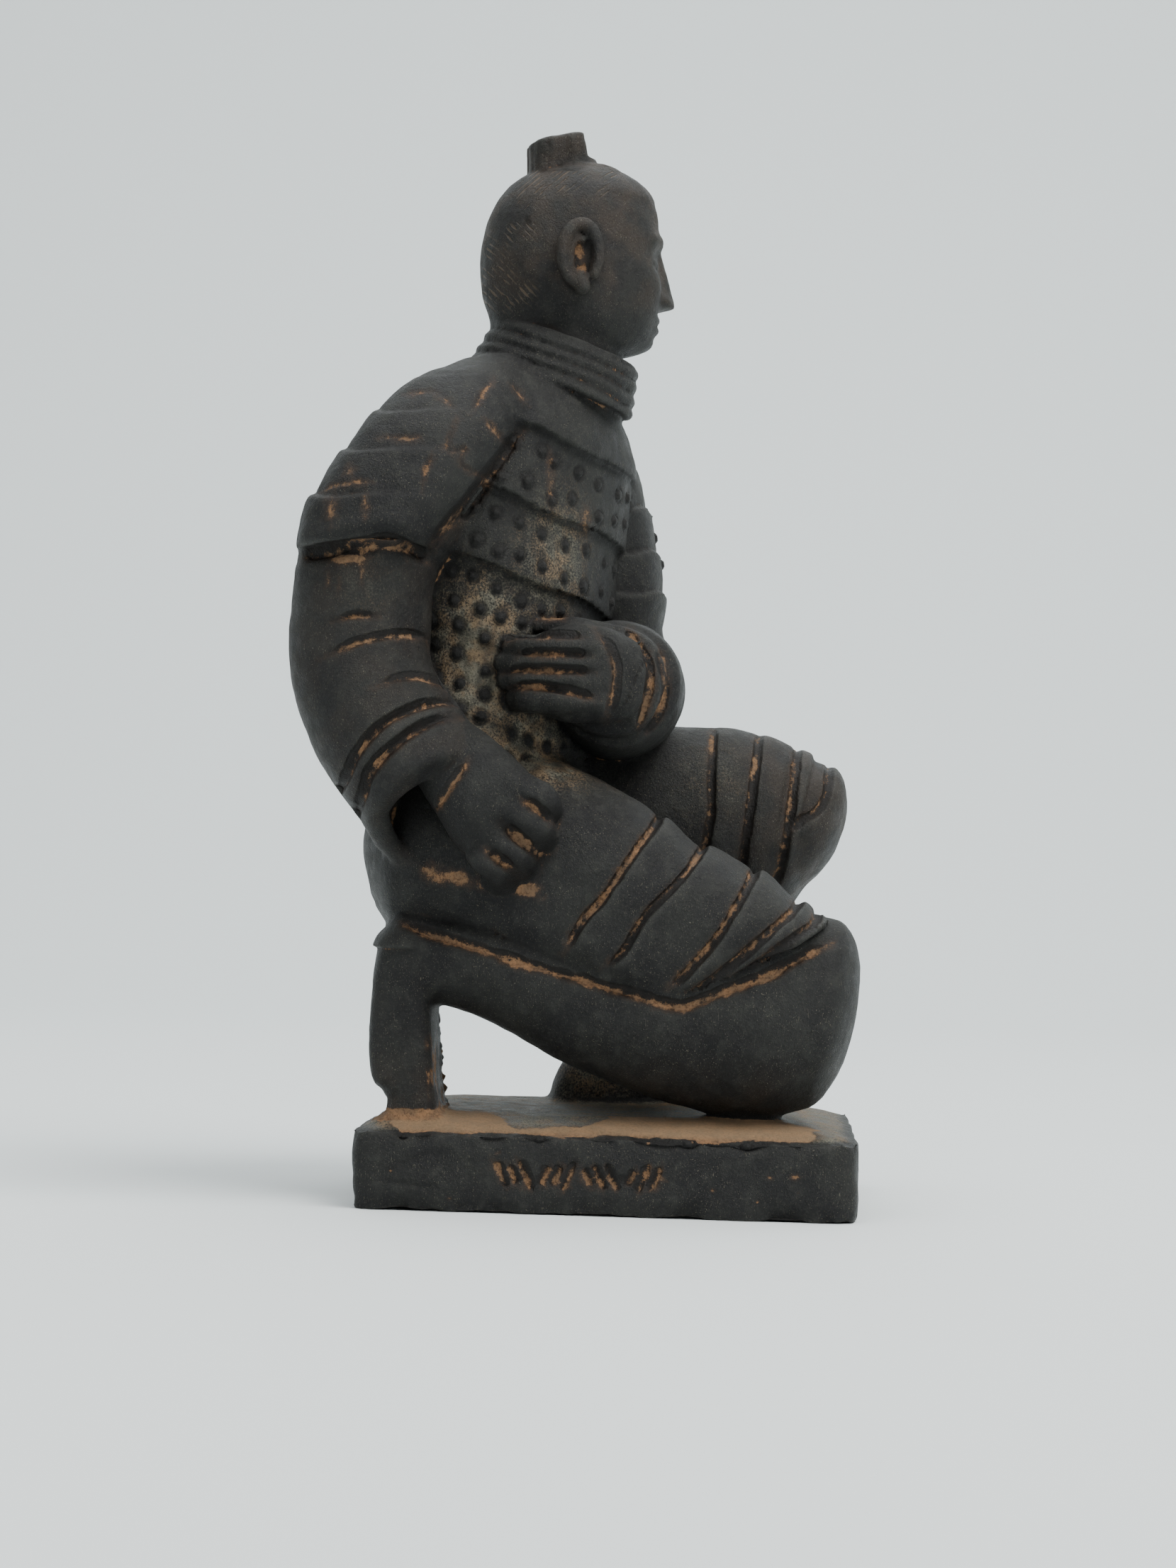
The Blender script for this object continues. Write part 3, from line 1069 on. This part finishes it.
# %% Hand the skin to Blender
MOST_FACES = 196000
mesh = bpy.data.meshes.new("archer")
mesh.vertices.add(len(points))
mesh.vertices.foreach_set("co", (points * 0.001).astype(np.float32).ravel())
mesh.loops.add(quads.size)
mesh.loops.foreach_set("vertex_index", quads.astype(np.int32).ravel())
mesh.polygons.add(len(quads))
mesh.polygons.foreach_set("loop_start", np.arange(0, quads.size, 4, dtype=np.int32))
mesh.update(calc_edges=True)
for name, values in paint.items():
    mesh.attributes.new(name, "FLOAT", "POINT").data.foreach_set("value", values.astype(np.float32))
archer = bpy.data.objects.new("archer", mesh)
bpy.context.scene.collection.objects.link(archer)

fewer = archer.modifiers.new("fewer faces", "DECIMATE")
fewer.ratio = min(1, MOST_FACES / (2 * len(quads)))
slim = bpy.data.meshes.new_from_object(archer.evaluated_get(bpy.context.evaluated_depsgraph_get()))
archer.modifiers.clear()
archer.data = slim
bpy.data.meshes.remove(mesh)
mesh = slim
mesh.name = "archer"
mesh.shade_smooth()
print("mesh", len(mesh.polygons), "faces,", round(time.time() - started, 1), "s")
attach(archer, "root")
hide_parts("kneeling_archer")

# %% [markdown]
# ## The finish
#
# The figure is brown clay under a thin dark slip, rubbed to a dull sheen. Four things show on
# it: mottling of the slip, bare clay where a mark or a rub broke it, pale dust in the sheltered
# parts, and fine grit with short scratches all over. Each is a mask over the same shader.

# %% Wiring helpers
class Wires:
    """Short ways to add nodes to a tree. Sizes are in mm."""

    def __init__(self, tree):
        self.tree = tree
        self.place = self.add("ShaderNodeTexCoord").outputs["Object"]

    def add(self, kind, inputs=(), **settings):
        node = self.tree.nodes.new(kind)
        for key, value in settings.items():
            setattr(node, key, value)
        for key, value in dict(inputs).items():
            if isinstance(value, bpy.types.NodeSocket):
                self.tree.links.new(value, node.inputs[key])
            else:
                node.inputs[key].default_value = value
        return node

    def attribute(self, name):
        return self.add("ShaderNodeAttribute", attribute_name=name).outputs["Fac"]

    def math(self, operation, a, b=0.0):
        return self.add("ShaderNodeMath", {0: a, 1: b}, operation=operation).outputs[0]

    def times(self, a, b):
        return self.math("MULTIPLY", a, b)

    def plus(self, a, b):
        return self.math("ADD", a, b)

    def minus(self, a, b):
        return self.math("SUBTRACT", a, b)

    def most(self, a, b):
        return self.math("MAXIMUM", a, b)

    def noise(self, size, detail=2.0, stretch=(1, 1, 1), roughness=0.55):
        """Noise whose lumps are about `size` mm, drawn out by `stretch`."""
        scale = tuple(1000 / (size * k) for k in stretch)
        where = self.add("ShaderNodeMapping", {"Vector": self.place, "Scale": scale})
        return self.add("ShaderNodeTexNoise", {
            "Vector": where.outputs[0], "Scale": 1.0, "Detail": detail, "Roughness": roughness,
        }).outputs["Fac"]

    def ramp(self, value, low, high, to_low=0.0, to_high=1.0):
        return self.add("ShaderNodeMapRange", {
            "Value": value, "From Min": low, "From Max": high, "To Min": to_low, "To Max": to_high,
        }, interpolation_type="SMOOTHSTEP").outputs[0]

    def mix(self, factor, a, b):
        node = self.add("ShaderNodeMix", data_type="RGBA")
        for key, value in ((0, factor), (6, a), (7, b)):
            if isinstance(value, bpy.types.NodeSocket):
                self.tree.links.new(value, node.inputs[key])
            else:
                node.inputs[key].default_value = value if key == 0 else (*value, 1)
        return node.outputs[2]


# %% Burnished clay
material = bpy.data.materials.new("burnished_clay")
material.use_nodes = True
w = Wires(material.node_tree)
shader = material.node_tree.nodes["Principled BSDF"]
shader.inputs["Specular IOR Level"].default_value = 0.3
mesh.materials.clear()
mesh.materials.append(material)

SLIP = dict(deep=(0.005, 0.005, 0.0055), plain=(0.013, 0.0135, 0.012), worn=(0.045, 0.046, 0.04),
            brown=(0.04, 0.028, 0.02), black=(0.004, 0.004, 0.004))
CLAY = dict(bright=(0.27, 0.15, 0.075), dull=(0.17, 0.105, 0.06), stain=(0.045, 0.026, 0.016),
            dusty=(0.27, 0.19, 0.11))
DUST = (0.2, 0.185, 0.135)
GRIT = (0.2, 0.18, 0.135)
HAIR = (0.14, 0.1, 0.065)
SHADE = (0.005, 0.0045, 0.004)
COMB_PITCH = 0.8

patchy = w.noise(9, 4)
medium = w.noise(2.2, 5, roughness=0.65)
fine = w.noise(0.45, 4, roughness=0.7)
finest = w.noise(0.18, 3, roughness=0.7)
colour = w.mix(w.ramp(patchy, 0.35, 0.65), SLIP["deep"], SLIP["plain"])
colour = w.mix(w.times(w.ramp(medium, 0.45, 0.75), 0.5), colour, SLIP["worn"])
warm = w.times(w.attribute("warm"), w.ramp(w.noise(5, 5), 0.38, 0.62, 0.1, 1))
colour = w.mix(warm, colour, SLIP["brown"])
colour = w.mix(w.times(w.attribute("edge"), 0.5), colour, SLIP["worn"])
colour = w.mix(w.times(w.ramp(fine, 0.5, 0.72), 0.4), colour, SLIP["worn"])
colour = w.mix(w.times(w.ramp(finest, 0.5, 0.3), 0.6), colour, SLIP["black"])

# %% Dust and grit
dusty = w.attribute("dust")
grain_of_dust = w.ramp(w.plus(w.noise(0.3, 4, roughness=0.75), w.times(dusty, 0.14)), 0.5, 0.7)
dust = w.times(w.times(w.ramp(dusty, 0.05, 0.8), 0.85), grain_of_dust)
dust = w.times(dust, w.ramp(medium, 0.35, 0.6, 0.4, 1))
colour = w.mix(dust, colour, w.mix(w.ramp(w.noise(3, 3), 0.4, 0.6), DUST, CLAY["dusty"]))

grit = w.ramp(w.noise(0.22, 2, roughness=0.6), 0.63, 0.72)
scratches = w.ramp(w.noise(0.15, 1, (1, 1, 5)), 0.66, 0.78)
grit = w.most(grit, w.times(scratches, 0.6))
grit = w.times(grit, w.ramp(w.noise(5, 4), 0.36, 0.6, 0.25, 1.0))
colour = w.mix(w.times(grit, 0.8), colour, GRIT)

# %% Bare clay and dark cuts
tear = w.plus(w.times(w.noise(1.1, 6, roughness=0.7), 0.75), w.times(finest, 0.35))
ragged = w.plus(w.attribute("bare"), w.minus(w.times(tear, 1.1), 0.6))
bare = w.ramp(ragged, SHOWN - 0.08, SHOWN + 0.08)
stain = w.ramp(ragged, 0.2, 0.52)
colour = w.mix(w.times(stain, 0.55), colour, CLAY["stain"])
clay_colour = w.mix(w.ramp(w.noise(2.4, 6), 0.35, 0.65), CLAY["dull"], CLAY["bright"])
clay_colour = w.mix(w.times(w.ramp(fine, 0.55, 0.35), 0.6), clay_colour, CLAY["stain"])
clay_colour = w.mix(w.times(dusty, 0.6), clay_colour, CLAY["dusty"])
colour = w.mix(bare, colour, clay_colour)
cut = w.ramp(w.plus(w.attribute("cut"), w.times(w.minus(fine, 0.5), 0.3)), 0.42, 0.62)
sheltered = w.most(w.most(w.attribute("crease"), w.attribute("soot")), cut)
dark = w.times(sheltered, w.minus(1.0, bare))
colour = w.mix(w.times(dark, 0.8), colour, SHADE)

# %% Hair, roughness and bump
hair_wave = w.math("SINE", w.times(w.attribute("comb"), 2 * math.pi / COMB_PITCH))
hair_wave = w.plus(hair_wave, w.times(w.minus(w.noise(2.0, 2), 0.5), 4))
hair = w.times(w.ramp(hair_wave, 0.6, 1.2), w.attribute("hair"))
colour = w.mix(w.times(hair, 0.6), colour, HAIR)

roughness = w.ramp(medium, 0.3, 0.7, 0.44, 0.62)
roughness = w.most(roughness, w.times(w.most(bare, dust), 0.9))
height = w.plus(w.times(fine, 1.4), w.times(finest, 0.8))
height = w.plus(height, w.times(medium, 1.5))
height = w.plus(height, w.times(grit, 0.6))
height = w.minus(height, w.times(hair, 1.6))
height = w.minus(height, w.times(bare, 0.5))
height = w.minus(height, w.times(cut, 1.4))
bump = w.add("ShaderNodeBump", {"Height": height, "Strength": 1.0, "Distance": 0.0002})
for socket, value in (("Base Color", colour), ("Roughness", roughness), ("Normal", bump.outputs[0])):
    w.tree.links.new(value, shader.inputs[socket])
print("material has", len(material.node_tree.nodes), "nodes")

# %% Stage, light and camera
CAMERA = dict(place=(-0.481, -0.01984, 0.0488), heading=2.972, rise=1.54, roll=1.48, sensor=36, lens=73.24)

heading, rise, roll = (math.radians(CAMERA[key]) for key in ("heading", "rise", "roll"))
forward = Vector((math.cos(rise) * math.cos(heading), math.cos(rise) * math.sin(heading), math.sin(rise)))
level_right = forward.cross(Vector((0, 0, 1))).normalized()
level_up = level_right.cross(forward)
right = math.cos(roll) * level_right + math.sin(roll) * level_up
up = right.cross(forward)
camera = bpy.data.objects.new("camera", bpy.data.cameras.new("camera"))
camera.matrix_world = Matrix((right, up, -forward)).transposed().to_4x4()
camera.location = CAMERA["place"]
camera.data.sensor_width = CAMERA["sensor"]
camera.data.lens = CAMERA["lens"]
camera.data.clip_start = 0.01
bpy.context.scene.collection.objects.link(camera)
bpy.context.scene.camera = camera

# %% Backdrop
# the floor runs back into a curved backdrop
FLOOR = dict(front=-1.6, bend=0.55, radius=0.5, top=2.4, half=2.2)


def cove():
    rows = [(FLOOR["front"], 0.0)]
    for k in range(17):
        a = math.radians(90 * k / 16)
        rows.append((FLOOR["bend"] + FLOOR["radius"] * math.sin(a), FLOOR["radius"] * (1 - math.cos(a))))
    rows.append((FLOOR["bend"] + FLOOR["radius"], FLOOR["top"]))
    corners = [(x, side * FLOOR["half"], z) for x, z in rows for side in (-1, 1)]
    faces = [(2 * i, 2 * i + 1, 2 * i + 3, 2 * i + 2) for i in range(len(rows) - 1)]
    backdrop = bpy.data.meshes.new("cove")
    backdrop.from_pydata(corners, [], faces)
    backdrop.shade_smooth()
    return backdrop


backdrop = bpy.data.objects.new("cove", cove())
bpy.context.scene.collection.objects.link(backdrop)
paper = bpy.data.materials.new("paper")
paper.use_nodes = True
paper.node_tree.nodes["Principled BSDF"].inputs["Base Color"].default_value = (0.755, 0.8, 0.8, 1)
paper.node_tree.nodes["Principled BSDF"].inputs["Roughness"].default_value = 0.9
backdrop.data.materials.append(paper)


# %% Lights
def soft_box(name, place, size, power, colour, aim=(0, 0, 0.08)):
    """A square area light that faces `aim`."""
    light = bpy.data.lights.new(name, "AREA")
    light.shape = "RECTANGLE"
    light.size, light.size_y = size
    light.energy = power
    light.color = colour
    lamp = bpy.data.objects.new(name, light)
    lamp.location = place
    lamp.rotation_euler = (Vector(place) - Vector(aim)).to_track_quat("Z", "Y").to_euler()
    bpy.context.scene.collection.objects.link(lamp)


soft_box("key", (-0.3, -0.45, 0.9), (0.6, 0.6), 11, (1.0, 0.99, 0.97))
soft_box("side", (-1.0, 0.3, 0.7), (0.8, 0.8), 4, (0.96, 0.98, 1.0))
soft_box("backdrop", (0.35, 0, 1.3), (1.4, 1.4), 19, (0.97, 0.99, 1.0), aim=(0.8, 0, 0.2))
world = bpy.data.worlds.new("studio")
world.use_nodes = True
world.node_tree.nodes["Background"].inputs["Color"].default_value = (0.93, 0.96, 0.97, 1)
world.node_tree.nodes["Background"].inputs["Strength"].default_value = 0.25
bpy.context.scene.world = world

# %% Finish
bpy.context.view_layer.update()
print("total", round(time.time() - started, 1), "s")
